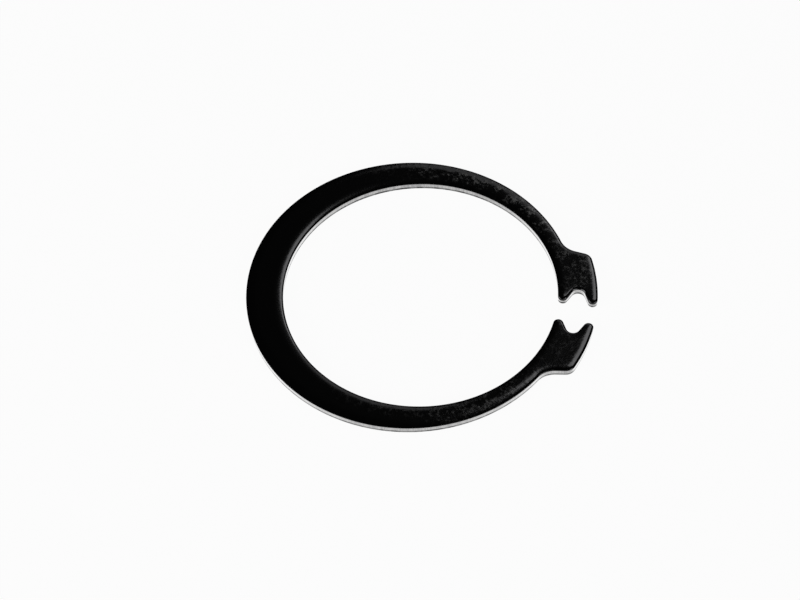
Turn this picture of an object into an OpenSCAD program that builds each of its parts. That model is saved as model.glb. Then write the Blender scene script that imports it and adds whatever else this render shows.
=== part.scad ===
// External circlip (retaining ring) for a 50 mm shaft, blanked in one stroke from flat spring steel.
// The ring lies flat on z = 0 with its gap towards +X, and the centre of its bore is the origin.
// It is cut from a strip the way the press cuts it: one tool for each stretch of its edge, all with
// the same section, so that the rolled edge, the wall and the fracture zone run all the way round.

/* [Ring] */
// Diameter of the bore before the ring is spread over a shaft, in mm
inner_d = 45.8; // [44:0.1:47.5]
// Thickness of the sheet, in mm
sheet = 1.5; // [1:0.05:2]
// Width of the ring at its back, opposite the gap, in mm
back_w = 6.2; // [5:0.1:7]
// Width that the ring would have at the gap, where it is narrowest, in mm
arm_w = 2.7; // [2.4:0.05:3.2]

/* [Lugs] */
// Width of a lug from the bore to its outer edge, in mm
lug_w = 6.6; // [5.5:0.05:7.5]
// Height of a lug's back edge above the centre line, measured at the notch, in mm
lug_h = 12.05; // [10:0.05:13]
// Fall of the back edge towards the outside, in degrees
lug_fall = 8; // [4:1:14]
// Radius of the hollow corner between the ring and a lug, in mm
fillet_r = 3.6; // [2:0.1:4]
// Radius of a lug's outer corner, in mm
corner_r = 1.7; // [0.8:0.1:2]
// Gap between the tips of the two lugs, in mm
gap = 4.1; // [3:0.1:5]

/* [Plier notches] */
// Radius of the seat for the pin of the pliers, in mm
notch_r = 1.2; // [1:0.05:1.4]
// Depth of a notch, from the tips to the bottom of its seat, in mm
notch_depth = 2.4; // [1.9:0.1:2.7]
// Width of a notch's mouth, between the round tips that stand beside it, in mm
mouth_w = 3.3; // [3.1:0.1:3.8]

/* [Blanked edge] */
// Width of the rolled-over edge on the upper face, in mm
roll_w = 1.2; // [0.6:0.1:1.2]
// Drop of the rolled-over edge where it meets the wall, in mm
roll_d = 0.28; // [0.15:0.01:0.35]
// Height of the rough fracture zone at the foot of the wall, in mm
break_h = 0.45; // [0.2:0.05:0.6]
// Distance by which the fracture zone leans inwards, in mm
break_in = 0.04; // [0.02:0.01:0.08]

/* [Hidden] */
$fn = 96;

inner_r = inner_d / 2;
outer_r = inner_r + (back_w + arm_w) / 2;
lug_r = inner_r + lug_w;
tip_r = (lug_w - mouth_w) / 4;           // two full-round tips and the mouth fill the lug's width
spare = 1;                               // how far the strip and the tools stand out past what they need
reach = 2.5 * spare;                     // how far a tool reaches out from the edge that it cuts
lap = 8;                                 // degrees by which a hollow tool runs on past its edge
over = 0.5;                              // length by which a straight tool runs on past its edge
ease = 0.002;                            // step between two tools that meet, so their walls cross cleanly

// Directions along a lug's back edge and square to it
run = [cos(lug_fall), -sin(lug_fall)];
out = [sin(lug_fall), cos(lug_fall)];

function dir(p) = atan2(p[1], p[0]);
function polar(r, a) = [r * cos(a), r * sin(a)];
// Centre of the tip whose circle touches the bore or the lug's outer edge and reaches down to the gap
function tip_at(r) = [sqrt(r * r - pow(gap / 2 + tip_r, 2)), gap / 2 + tip_r];
// The point at distance r from c on the line that starts at p and goes along run
function on_line(p, c, r) =
    let (w = p - c, b = w * run) p + (-b + sqrt(b * b - w * w + r * r)) * run;

disc = [(arm_w - back_w) / 2, 0];        // centre of the ring's outer circle
tip_in = tip_at(inner_r + tip_r);
tip_out = tip_at(lug_r - tip_r);
notch = [(tip_in[0] + tip_out[0]) / 2, gap / 2 + notch_depth - notch_r];
back = [notch[0], lug_h];                // a point on the back edge
hollow = on_line(back + fillet_r * out, disc, outer_r + fillet_r);
corner = on_line(back - corner_r * out, [0, 0], lug_r - corner_r);
foot = hollow - fillet_r * out;          // where the back edge leaves the hollow corner
// Directions from the notch's centre to where its seat turns into the flanks of the tips
a_out = dir(tip_out - notch) + acos((notch_r + tip_r) / norm(tip_out - notch));
a_in = 180 - a_out;
a_ring = dir(hollow - disc);

// Section of a tool that cuts the edge at x = 0 and leaves the material at x < 0. It stands back by e
// and reaches as far out as it is told
module edge_section(e, far = reach) {
    translate([e, 0]) polygon([
        [far, sheet + spare], [-1.5 * roll_w, sheet + spare], [-1.5 * roll_w, sheet + 0.1 * roll_d],
        [-0.45 * roll_w, sheet - 0.25 * roll_d], [-0.1 * roll_w, sheet - 0.6 * roll_d],
        [0, sheet - roll_d], [0, break_h], [-break_in, 0], [-break_in, -spare], [far, -spare]]);
}

// Tool for a round edge from angle a0 to a1: side 1 leaves the inside of the circle, -1 the outside
module round_tool(c, r, a0, a1, side, e = 0) {
    translate([c[0], c[1], 0])
        rotate_extrude(angle = a1 - a0, start = a0) intersection() {
            translate([r, 0]) mirror([side < 0 ? 1 : 0, 0]) edge_section(e);
            translate([0, -spare]) square([r + roll_w + reach, sheet + 2 * spare]);
        }
}

// Tool for a straight edge from p to q, with the material on its right, longer at its ends by m and n
module line_tool(p, q, m, n, far) {
    translate([p[0], p[1], 0]) rotate([0, 0, dir(q - p)]) translate([-m, 0, 0])
        rotate([90, 0, 90]) linear_extrude(norm(q - p) + m + n) edge_section(ease, far);
}

// The edge of the upper lug, from the ring round to the bore. Where two tools meet, the hollower
// one runs on past the point and the other stands back by the ease
module lug_tools() {
    round_tool(hollow, fillet_r, dir(disc - hollow) - lap, dir(-out) + lap, -1);
    line_tool(foot, corner + corner_r * out, 0, over, reach);
    round_tool(corner, corner_r, dir(corner), dir(out), 1, 2 * ease);
    round_tool([0, 0], lug_r, dir(tip_out) - 1, dir(corner) + 1, 1, ease);
    round_tool(tip_out, tip_r, a_out - 180, dir(tip_out), 1, 2 * ease);
    line_tool(tip_out - polar(tip_r, a_out), notch + polar(notch_r, a_out), over, 0, spare);
    round_tool(notch, notch_r, a_out - lap, a_in + lap, -1);
    line_tool(notch + polar(notch_r, a_in), tip_in - polar(tip_r, a_in), 0, over, spare);
    round_tool(tip_in, tip_r, dir(-tip_in) + 360, a_in + 180, 1, 2 * ease);
    mouth();
}

// The waste in the middle of a notch, between the tools for its seat, its flanks and its tips
module mouth() {
    to_out = tip_out - polar(tip_r + spare / 2, a_out);
    to_in = tip_in - polar(tip_r + spare / 2, a_in);
    translate([0, 0, -spare]) linear_extrude(sheet + 2 * spare) polygon([
        to_out, notch + polar(notch_r - spare / 2, a_out), notch + polar(notch_r - spare / 2, a_in),
        to_in, [to_in[0], 0], [to_out[0], 0]]);
}

// The strip that the ring is cut from, larger than the ring on every edge
module strip() {
    linear_extrude(sheet) difference() {
        union() {
            translate(disc) circle(outer_r + spare);
            intersection() {
                circle(lug_r + spare);
                translate([0, -foot[1] - spare]) square([2 * lug_r, 2 * (foot[1] + spare)]);
            }
        }
        circle(inner_r - spare);
        translate([0, (spare - gap) / 2]) square([2 * lug_r, gap - spare]);
    }
}

module circlip() color("dimgray") {
    difference() {
        strip();
        round_tool([0, 0], inner_r, 0, 360, -1);
        round_tool(disc, outer_r, a_ring, 360 - a_ring, 1, ease);
        lug_tools();
        mirror([0, 1, 0]) lug_tools();
    }
}

circlip();
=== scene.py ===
import math

import bmesh
import bpy
from mathutils import Matrix, Vector
from mathutils.bvhtree import BVHTree


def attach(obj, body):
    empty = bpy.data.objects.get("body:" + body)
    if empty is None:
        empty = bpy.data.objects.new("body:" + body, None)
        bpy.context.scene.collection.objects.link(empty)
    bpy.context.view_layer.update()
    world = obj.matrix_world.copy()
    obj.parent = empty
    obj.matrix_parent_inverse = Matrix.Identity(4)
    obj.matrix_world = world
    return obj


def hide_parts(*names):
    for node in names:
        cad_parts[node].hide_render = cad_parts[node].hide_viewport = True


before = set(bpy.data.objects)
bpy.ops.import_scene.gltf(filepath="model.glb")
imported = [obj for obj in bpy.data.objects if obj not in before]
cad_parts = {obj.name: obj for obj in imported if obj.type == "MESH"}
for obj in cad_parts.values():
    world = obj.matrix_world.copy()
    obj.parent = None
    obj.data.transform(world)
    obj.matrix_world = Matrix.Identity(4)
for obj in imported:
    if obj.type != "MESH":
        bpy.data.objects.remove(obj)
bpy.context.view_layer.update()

# The circlip: one open ring of spring steel 1.5 mm thick, blanked in a single stroke from blackened strip.
# The press rolls its upper edge over, burnishes the upper part of its wall and tears through the rest, so
# the faces keep their oiled black oxide and the wall shows bare steel. It lies loose, fixed to nothing.
MM = 0.001
sheet = 1.5 * MM
bore_r = 22.9 * MM
back_w, arm_w = 6.2 * MM, 2.7 * MM
lug_w, lug_h = 6.6 * MM, 12.05 * MM
lug_fall = math.radians(8)
hollow_r, corner_r = 3.6 * MM, 1.7 * MM
gap = 4.1 * MM
notch_r, notch_depth, mouth_w = 1.2 * MM, 2.4 * MM, 3.3 * MM

outer_r = bore_r + (back_w + arm_w) / 2
lug_r = bore_r + lug_w
tip_r = (lug_w - mouth_w) / 4
chord = 0.33 * MM  # length of a step along the edge
fine_chord = 0.13 * MM  # the same on the tips, notches and corners
weld = 1e-7  # points that lie nearer to each other than this are one

WALL = 1  # the ring's second material slot


def heading(v):
    """Direction of a vector in the sheet's plane, as an angle."""
    return math.atan2(v.y, v.x)


def at(centre, radius, angle):
    """The point at a radius and an angle from a centre."""
    return centre + radius * Vector((math.cos(angle), math.sin(angle), 0))


def along(start, centre, radius, run):
    """The point at that radius from a centre, on the line that leaves start along run."""
    offset = start - centre
    b = offset.dot(run)
    return start + run * (math.sqrt(b * b - offset.length_squared + radius * radius) - b)


bore = Vector((0, 0, 0))
disc = Vector(((arm_w - back_w) / 2, 0, 0))
fall = Vector((math.cos(lug_fall), -math.sin(lug_fall), 0))
away = Vector((math.sin(lug_fall), math.cos(lug_fall), 0))
tip_y = gap / 2 + tip_r
tip_in = Vector((math.sqrt((bore_r + tip_r) ** 2 - tip_y ** 2), tip_y, 0))
tip_out = Vector((math.sqrt((lug_r - tip_r) ** 2 - tip_y ** 2), tip_y, 0))
notch = Vector(((tip_in.x + tip_out.x) / 2, gap / 2 + notch_depth - notch_r, 0))
back = Vector((notch.x, lug_h, 0))
hollow = along(back + hollow_r * away, disc, outer_r + hollow_r, fall)
corner = along(back - corner_r * away, bore, lug_r - corner_r, fall)
flank_out = heading(tip_out - notch) + math.acos((notch_r + tip_r) / (tip_out - notch).length)
flank_in = math.pi - flank_out
ring_end = heading(hollow - disc)

blank = bmesh.new()


def of_kind(kind, elements):
    """Those of the elements that an operator gave which are of one kind."""
    return [e for e in elements if isinstance(e, kind)]


def round_edge(end, centre, start, stop, radius, step=fine_chord):
    """Carries the ring's edge on from its end, round a centre from one angle to another."""
    steps = max(2, round(abs(stop - start) * radius / step))
    swept = bmesh.ops.spin(
        blank, geom=[end], cent=centre, axis=(0, 0, 1), angle=stop - start, steps=steps,
        use_merge=False, use_normal_flip=False, use_duplicate=False)
    end = of_kind(bmesh.types.BMVert, swept["geom_last"])[0]
    end.co = at(centre, radius, stop)
    return end


def straight_edge(end, goal):
    """Carries the ring's edge on from its end, straight to a goal."""
    steps = max(2, round((goal - end.co).length / fine_chord))
    stride = (goal - end.co) / steps
    for _ in range(steps):
        end = bmesh.ops.extrude_vert_indiv(blank, verts=[end])["verts"][0]
        bmesh.ops.translate(blank, vec=stride, verts=[end])
    return end


# The upper half of the outline, from the ring's back round the lug and home along the bore
end = blank.verts.new(at(disc, outer_r, math.pi))
end = round_edge(end, disc, math.pi, ring_end, outer_r, chord)
end = round_edge(end, hollow, ring_end - math.pi, heading(-away), hollow_r)
end = straight_edge(end, corner + corner_r * away)
end = round_edge(end, corner, heading(away), heading(corner), corner_r)
end = round_edge(end, bore, heading(corner), heading(tip_out), lug_r, chord)
end = round_edge(end, tip_out, heading(tip_out), flank_out - math.pi, tip_r)
end = straight_edge(end, at(notch, notch_r, flank_out))
end = round_edge(end, notch, flank_out, flank_in, notch_r)
end = straight_edge(end, at(tip_in, -tip_r, flank_in))
end = round_edge(end, tip_in, flank_in - math.pi, heading(tip_in) - math.pi, tip_r)
end = round_edge(end, bore, heading(tip_in), math.pi, bore_r, chord)
bmesh.ops.mirror(
    blank, geom=blank.verts[:] + blank.edges[:], matrix=Matrix.Identity(4), axis="Y", merge_dist=weld)
bmesh.ops.remove_doubles(blank, verts=blank.verts[:], dist=weld)

# The punched section: the torn zone leans in at the foot, and above it the burnished wall stands straight.
# The black oxide reaches down over the rim, and further on the round tips beside the notches
torn_h, torn_lean = 0.45 * MM, 0.04 * MM
roll_d = 0.28 * MM
rim = sheet - roll_d
rim_oxide, tip_oxide = 0.09 * MM, 0.41 * MM
tip_reach = 1.3 * MM  # how far past a tip its oxide draws back up to the rim
wall_rows = [torn_h, 0.7 * MM, 0.95 * MM, rim - rim_oxide, rim - 0.02 * MM, rim]
evenly = {"use_boundary": True, "use_even_offset": True}
underside = bmesh.ops.contextual_create(blank, geom=blank.edges[:])["faces"][0]
wall = list(bmesh.ops.inset_region(blank, faces=[underside], thickness=torn_lean, **evenly)["faces"])
outline = [e for f in wall for e in f.edges if e.is_boundary]  # the inset left the underside its old edges
bmesh.ops.translate(blank, vec=(0, 0, torn_h), verts=list({v for e in outline for v in e.verts}))
foot_edges = list(underside.edges)
for low, high in zip(wall_rows, wall_rows[1:]):
    grown = bmesh.ops.extrude_edge_only(blank, edges=outline)["geom"]
    outline = [e for e in of_kind(bmesh.types.BMEdge, grown) if e.is_boundary]
    bmesh.ops.translate(blank, vec=(0, 0, high - low), verts=of_kind(bmesh.types.BMVert, grown))
    if low < rim - rim_oxide:
        wall += of_kind(bmesh.types.BMFace, grown)
upper = bmesh.ops.contextual_create(blank, geom=outline)["faces"][0]
rim_edges = list(upper.edges)
for f in wall:
    f.material_index = WALL

# Rows of faces inside the edge, close together where the sheet rolls over, at these distances from it
upper_rows = [0.012, 0.03, 0.06, 0.1, 0.15, 0.21, 0.28, 0.36, 0.45, 0.56, 0.68]
under_rows = [0.05, 0.15, 0.35, 0.65]
for face, rows in ((upper, upper_rows), (underside, under_rows)):
    for low, high in zip([0] + rows, rows):
        bmesh.ops.inset_region(blank, faces=[face], thickness=(high - low) * MM, **evenly)

# Inside those rows the upper face is cut into a fine grid, so that it can bend
grid = 0.22 * MM
inner = [upper]
for axis, reach in ((Vector((1, 0, 0)), outer_r - disc.x), (Vector((0, 1, 0)), outer_r)):
    lines = math.ceil(reach / grid)
    for k in range(-lines, lines + 1):
        plane = axis * (k + 0.5) * grid
        spans = [(f, [v.co.dot(axis) for v in f.verts]) for f in inner]
        crossed = [f for f, span in spans if min(span) < plane.dot(axis) < max(span)]
        if not crossed:
            continue
        untouched = [f for f in inner if f not in set(crossed)]
        edges, verts = {e for f in crossed for e in f.edges}, {v for f in crossed for v in f.verts}
        cut = bmesh.ops.bisect_plane(
            blank, geom=[*crossed, *edges, *verts], dist=weld, plane_co=plane, plane_no=axis)["geom"]
        inner = untouched + of_kind(bmesh.types.BMFace, cut)

# The rolled edge: the upper face falls in a wide flare towards the edge, and in a nib at the very edge.
# The flare is deeper on the ring than on the lugs, and hardly there beside the notches
flare_ring, flare_lug = Vector((0.19, 1.65)) * MM, Vector((0.12, 1.15)) * MM  # depth and width
lug_starts, lug_rules = 12 * MM, 24 * MM  # along X, where the first turns into the second
notch_share = 0.25  # what is left of the flare beside a notch
notch_near, notch_far = notch_r + 0.2 * MM, notch_r + 1.5 * MM  # from its centre, where that fades out
nib_w = 0.4 * MM
cutter = bmesh.new()
for e in rim_edges:
    low_a, low_b = (cutter.verts.new(v.co.xy.to_3d()) for v in e.verts)
    high_b, high_a = (cutter.verts.new(v.co.xy.to_3d() + Vector((0, 0, 2 * sheet))) for v in reversed(e.verts))
    cutter.faces.new((low_a, low_b, high_b, high_a))
fence = BVHTree.FromBMesh(cutter)
cutter.free()
drawn_oxide = blank.verts.layers.float.new("drawn_oxide")


def ease(x, low, high):
    """Goes smoothly from 0 to 1 as x goes from low to high."""
    t = min(1, max(0, (x - low) / (high - low)))
    return t * t * (3 - 2 * t)


def mix(a, b, share):
    """What lies between a and b at that share of the way."""
    return a + (b - a) * share


for v in blank.verts:
    x, y, z = v.co
    spot = Vector((x, abs(y), 0))
    if z > rim - 0.001 * MM:
        to_edge = fence.find_nearest(Vector((x, y, sheet)))[3]
        flare_d, flare_w = mix(flare_ring, flare_lug, ease(x, lug_starts, lug_rules))
        flare_d *= mix(notch_share, 1, ease((spot - notch).length, notch_near, notch_far))
        flare = flare_d * max(0, 1 - to_edge / flare_w) ** 2
        nib = (roll_d - flare_d) * max(0, 1 - to_edge / nib_w) ** 2
        v.co.z = sheet - flare - nib
    to_tip = min((spot - tip).length for tip in (tip_in, tip_out))
    v[drawn_oxide] = mix(tip_oxide, rim_oxide, ease(to_tip, tip_r, tip_r + tip_reach)) / MM
for e in foot_edges:
    e.smooth = False
bmesh.ops.recalc_face_normals(blank, faces=blank.faces[:])
mesh = bpy.data.meshes.new("circlip_ring")
blank.to_mesh(mesh)
blank.free()
mesh.shade_smooth()
ring = bpy.data.objects.new("circlip_ring", mesh)
bpy.context.scene.collection.objects.link(ring)


class Paint:
    """A number or a colour that varies over a surface. Arithmetic on it adds Math nodes."""

    def __init__(self, tree, socket=None):
        self.tree, self.socket = tree, socket

    def node(self, kind, settings, inputs, output=0):
        """Adds a node: its settings first, then what its sockets hold. Gives one of its outputs."""
        made = self.tree.nodes.new("ShaderNode" + kind)
        for name, value in settings.items():
            setattr(made, name, value)
        for name, value in inputs.items():
            if isinstance(value, Paint):
                self.tree.links.new(value.socket, made.inputs[name])
            else:
                made.inputs[name].default_value = value
        return Paint(self.tree, made.outputs[output])

    def feeds(self, node, name):
        """Links this to a socket of a node that is there already."""
        self.tree.links.new(self.socket, node.inputs[name])

    def maths(self, operation, *operands, clamp=False):
        return self.node("Math", {"operation": operation, "use_clamp": clamp}, dict(enumerate(operands)))

    def __add__(self, other):
        return self.maths("ADD", self, other)

    def __radd__(self, other):
        return self.maths("ADD", other, self)

    def __sub__(self, other):
        return self.maths("SUBTRACT", self, other)

    def __rsub__(self, other):
        return self.maths("SUBTRACT", other, self)

    def __mul__(self, other):
        return self.maths("MULTIPLY", self, other)

    def __rmul__(self, other):
        return self.maths("MULTIPLY", other, self)

    def axis(self, name):
        """The X, Y or Z of a place."""
        return self.node("SeparateXYZ", {}, {"Vector": self}, name)

    def step(self, low, high):
        """Eases from 0 to 1 as this goes from low to high."""
        return self.node(
            "MapRange", {"interpolation_type": "SMOOTHSTEP"}, {"Value": self, "From Min": low, "From Max": high})

    def noise(self, size, detail=3.0, rough=0.6):
        """A cloudy pattern whose blotches are about that many millimetres across, from 0 to 1."""
        return self.node("TexNoise", {}, {"Vector": self, "Scale": 1 / size, "Detail": detail, "Roughness": rough})

    def blend(self, low, high):
        """The colour between two colours that this value picks."""
        low, high = (colour if isinstance(colour, Paint) else (*colour, 1) for colour in (low, high))
        share, first, second, result = 0, 6, 7, 2  # the sockets that a Mix node uses for colours
        settings = {"data_type": "RGBA", "clamp_factor": True}
        return self.node("Mix", settings, {share: self, first: low, second: high}, result)

    def bump(self, depth):
        """The normals of a surface that this pattern raises, by up to that many millimetres."""
        return self.node("Bump", {}, {"Strength": 1.0, "Distance": depth * MM, "Height": self})


def finish_named(name, constants):
    """A new material, its shader with what is the same all over it, and the place on it in millimetres."""
    material = bpy.data.materials.new(name)
    material.use_nodes = True
    shader = material.node_tree.nodes["Principled BSDF"]
    for socket, value in constants.items():
        shader.inputs[socket].default_value = value
    paint = Paint(material.node_tree)
    place = paint.node("TexCoord", {}, {}, "Object")
    where = paint.node("Mapping", {}, {"Vector": place, "Scale": (1 / MM,) * 3})
    return material, shader, where


# Oiled black oxide: nearly black and half glossy, with dull grains where the oil has dried. They lie along
# the outside of the far arm and the inside of the near one, are fewer on the lugs, and leave the back clean
oiled, dried = (0.042, 0.042, 0.043), (0.085, 0.085, 0.084)
black_oxide, shader, where = finish_named(
    "black_oxide", {"Metallic": 1.0, "Specular Tint": (0.3, 0.3, 0.3, 1)})
x, y = where.axis("X"), where.axis("Y")
cluster = where.noise(1.8)
speck = where.noise(0.55)
from_centre = where.node("VectorMath", {"operation": "DISTANCE"}, {0: where, 1: disc / MM}, "Value")
near_arm = 1 - y.step(-17, -9)
outward = from_centre.step(23.0, 25.6) * (1 - near_arm * (1 - x.step(2, 9)))
inward = (1 - from_centre.step(23.8, 26.2)) * near_arm
off_back, on_lugs = x.step(-16, 0), x.step(13, 22)
amount = off_back * (0.42 + near_arm * 0.2 + y.step(0, 12) * 0.88) * (1 - on_lugs * 0.5)
patchy = cluster.step(0.40, 0.58) * (outward + inward) * amount
dry = speck.step(0.46, 0.66) * patchy
dry.blend(oiled, dried).feeds(shader, "Base Color")
(0.14 + dry * 0.24).feeds(shader, "Roughness")
grain = speck * (0.1 + patchy * 0.7)
(grain + cluster * 0.3).bump(0.028).feeds(shader, "Normal")

# The sheared wall: burnished steel with fine streaks up it and a painted sheen that whitens it seen edge on, and a
# dull torn zone with a ragged top, painted dark in patches as shade at the wall's foot. Black oxide is drawn down
# over its upper end, with a frayed border
sheared_steel, shader, where = finish_named("sheared_steel", {"Metallic": 1.0})
steel_dark, steel_pale = (0.34, 0.34, 0.34), (0.54, 0.535, 0.53)
# The torn zone's own dull grey, and a near-black that is painted shade: the table's contact shadow at the foot of
# the wall
torn_pale, torn_painted_shade = (0.25, 0.25, 0.247), (0.035, 0.035, 0.035)
# The near-white is painted sheen, which the wall's colour turns to seen edge on; the black is the drawn oxide
painted_sheen_white, oxide_black = (0.97, 0.97, 0.97), (0.014, 0.014, 0.014)
streaked = where.node("Mapping", {}, {"Vector": where, "Scale": (1.0, 1.0, 0.08)})
streak = streaked.noise(0.28)
broad = streaked.noise(1.8, detail=2.0, rough=0.5)
crumb = where.noise(0.09, rough=0.7)
patch = streaked.noise(1.4).step(0.42, 0.60)
height = where.axis("Z")
ragged = height + streaked.noise(0.5, detail=2.0, rough=0.5) * 0.16 - 0.08
burnished = ragged.step(0.40, 0.48)
bright = (streak * 0.6 + broad * 0.4).step(0.36, 0.62).blend(steel_dark, steel_pale)
# Torn zone: dull grey steel, darkened in patches with painted shade where the wall meets the table
dull = (patch * 0.75 + crumb * 0.25).blend(torn_pale, torn_painted_shade)
# Painted sheen: the wall's colour whitens and its roughness drops as it is seen more edge on, more on the
# burnished part than on the torn one
edge_on = where.node("LayerWeight", {}, {"Blend": 0.5}, "Facing").step(0.4, 0.85)
painted_grazing_sheen = edge_on * (0.3 + burnished * 0.7)
steel = painted_grazing_sheen.blend(burnished.blend(dull, bright), painted_sheen_white)
drawn_down = where.node("Attribute", {"attribute_name": "drawn_oxide"}, {}, "Fac")
oxide = (height + drawn_down + streak * 0.1 - 0.05).step(rim / MM - 0.02, rim / MM + 0.02)
oxide.blend(steel, oxide_black).feeds(shader, "Base Color")
((0.62 - burnished * 0.3) * (1 - painted_grazing_sheen * 0.75)).feeds(shader, "Roughness")
(streak * burnished + crumb * (1 - burnished) * 2).bump(0.012).feeds(shader, "Normal")

mesh.materials.append(black_oxide)
mesh.materials.append(sheared_steel)
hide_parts("circlip")
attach(ring, "root")

# The floor: a plain pale table top that the ring lies on. It shows white to the camera and in the steel,
# and takes the lamps' light for the rest, so that it keeps the ring's shadow.
top_r, top_drop = 3.0, 0.01 * MM
white_share = 0.95
table = bmesh.new()
bmesh.ops.create_circle(table, cap_ends=True, segments=64, radius=top_r)
bmesh.ops.translate(table, vec=(0, 0, -top_drop), verts=table.verts[:])
floor_mesh = bpy.data.meshes.new("table_top")
table.to_mesh(floor_mesh)
table.free()
floor = bpy.data.objects.new("table_top", floor_mesh)
bpy.context.scene.collection.objects.link(floor)
pale, shader, where = finish_named(
    "pale_top", {"Base Color": (0.86, 0.86, 0.86, 1), "Roughness": 0.9, "Specular IOR Level": 0.0})
by_camera, by_gloss, by_glass = (
    where.node("LightPath", {}, {}, f"Is {kind} Ray") for kind in ("Camera", "Glossy", "Transmission"))
seen = (by_camera.maths("ADD", by_camera, by_gloss, clamp=True) + by_glass) * white_share
white = where.node("Emission", {}, {"Color": (1, 1, 1, 1), "Strength": 1.0})
lit = Paint(where.tree, shader.outputs["BSDF"])
top = where.node("MixShader", {}, {0: seen, 1: lit, 2: white})
top.feeds(where.tree.nodes["Material Output"], "Surface")
floor_mesh.materials.append(pale)

# The studio: a soft panel high beyond the ring and to its right, which the rolled edges pick up, a dim one
# low beyond it, a small one between the two, and two low at the front, where the flat face doesn't show
# them to the camera. The rest of the room is nearly dark.
world = bpy.data.worlds.new("dim_studio")
bpy.context.scene.world = world
world.use_nodes = True
background = world.node_tree.nodes["Background"]
background.inputs["Color"].default_value = (1, 1, 1, 1)
background.inputs["Strength"].default_value = 0.02


def panel(name, bearing, rise, distance, width, height, radiance):
    """A soft panel that faces the ring, from a bearing off +Y and a rise above the table, in degrees."""
    lamp = bpy.data.lights.new(name, "AREA")
    lamp.shape, lamp.size, lamp.size_y = "RECTANGLE", width, height
    lamp.energy = 4 * radiance * width * height
    lamp_object = bpy.data.objects.new(name, lamp)
    bpy.context.scene.collection.objects.link(lamp_object)
    b, r = math.radians(bearing), math.radians(rise)
    out = Vector((math.sin(b) * math.cos(r), math.cos(b) * math.cos(r), math.sin(r)))
    turned = out.to_track_quat("Z", "Y").to_matrix().to_4x4()
    lamp_object.matrix_world = Matrix.Translation(out * distance) @ turned


panel("key_panel", bearing=24, rise=52, distance=3.0, width=1.13, height=1.3, radiance=2.0)
panel("far_panel", bearing=5, rise=35.5, distance=3.0, width=1.5, height=1.0, radiance=0.52)
panel("side_panel", bearing=12.5, rise=38.7, distance=2.9, width=0.42, height=0.5, radiance=1.5)
panel("front_left_panel", bearing=-125, rise=20, distance=1.0, width=1.1, height=0.6, radiance=2.8)
panel("front_right_panel", bearing=130, rise=18, distance=1.0, width=1.0, height=0.55, radiance=2.6)

# The camera, at the photograph's angle: it looks down past the near edge, a little from the right, from
# about 39 cm away, through a long lens
camera_bearing, camera_rise, camera_roll = (math.radians(a) for a in (11.929, 54.121, -2.445))
camera_distance = 391.33 * MM
camera_target = Vector((-3.042 * MM, -2.264 * MM, rim))
camera = bpy.data.cameras.new("camera")
camera.lens, camera.sensor_width = 105.93, 36
camera.clip_start, camera.clip_end = 0.01, 20
toward = Vector((
    math.sin(camera_bearing) * math.cos(camera_rise),
    -math.cos(camera_bearing) * math.cos(camera_rise),
    math.sin(camera_rise)))
side = Vector((math.cos(camera_bearing), math.sin(camera_bearing), 0))
camera_axes = Matrix((side, toward.cross(side), toward)).transposed().to_4x4()
camera_place = Matrix.Translation(camera_target + toward * camera_distance)
camera_object = bpy.data.objects.new("camera", camera)
bpy.context.scene.collection.objects.link(camera_object)
camera_object.matrix_world = camera_place @ camera_axes @ Matrix.Rotation(camera_roll, 4, "Z")
bpy.context.scene.camera = camera_object
bpy.context.scene.view_settings.view_transform = "Standard"
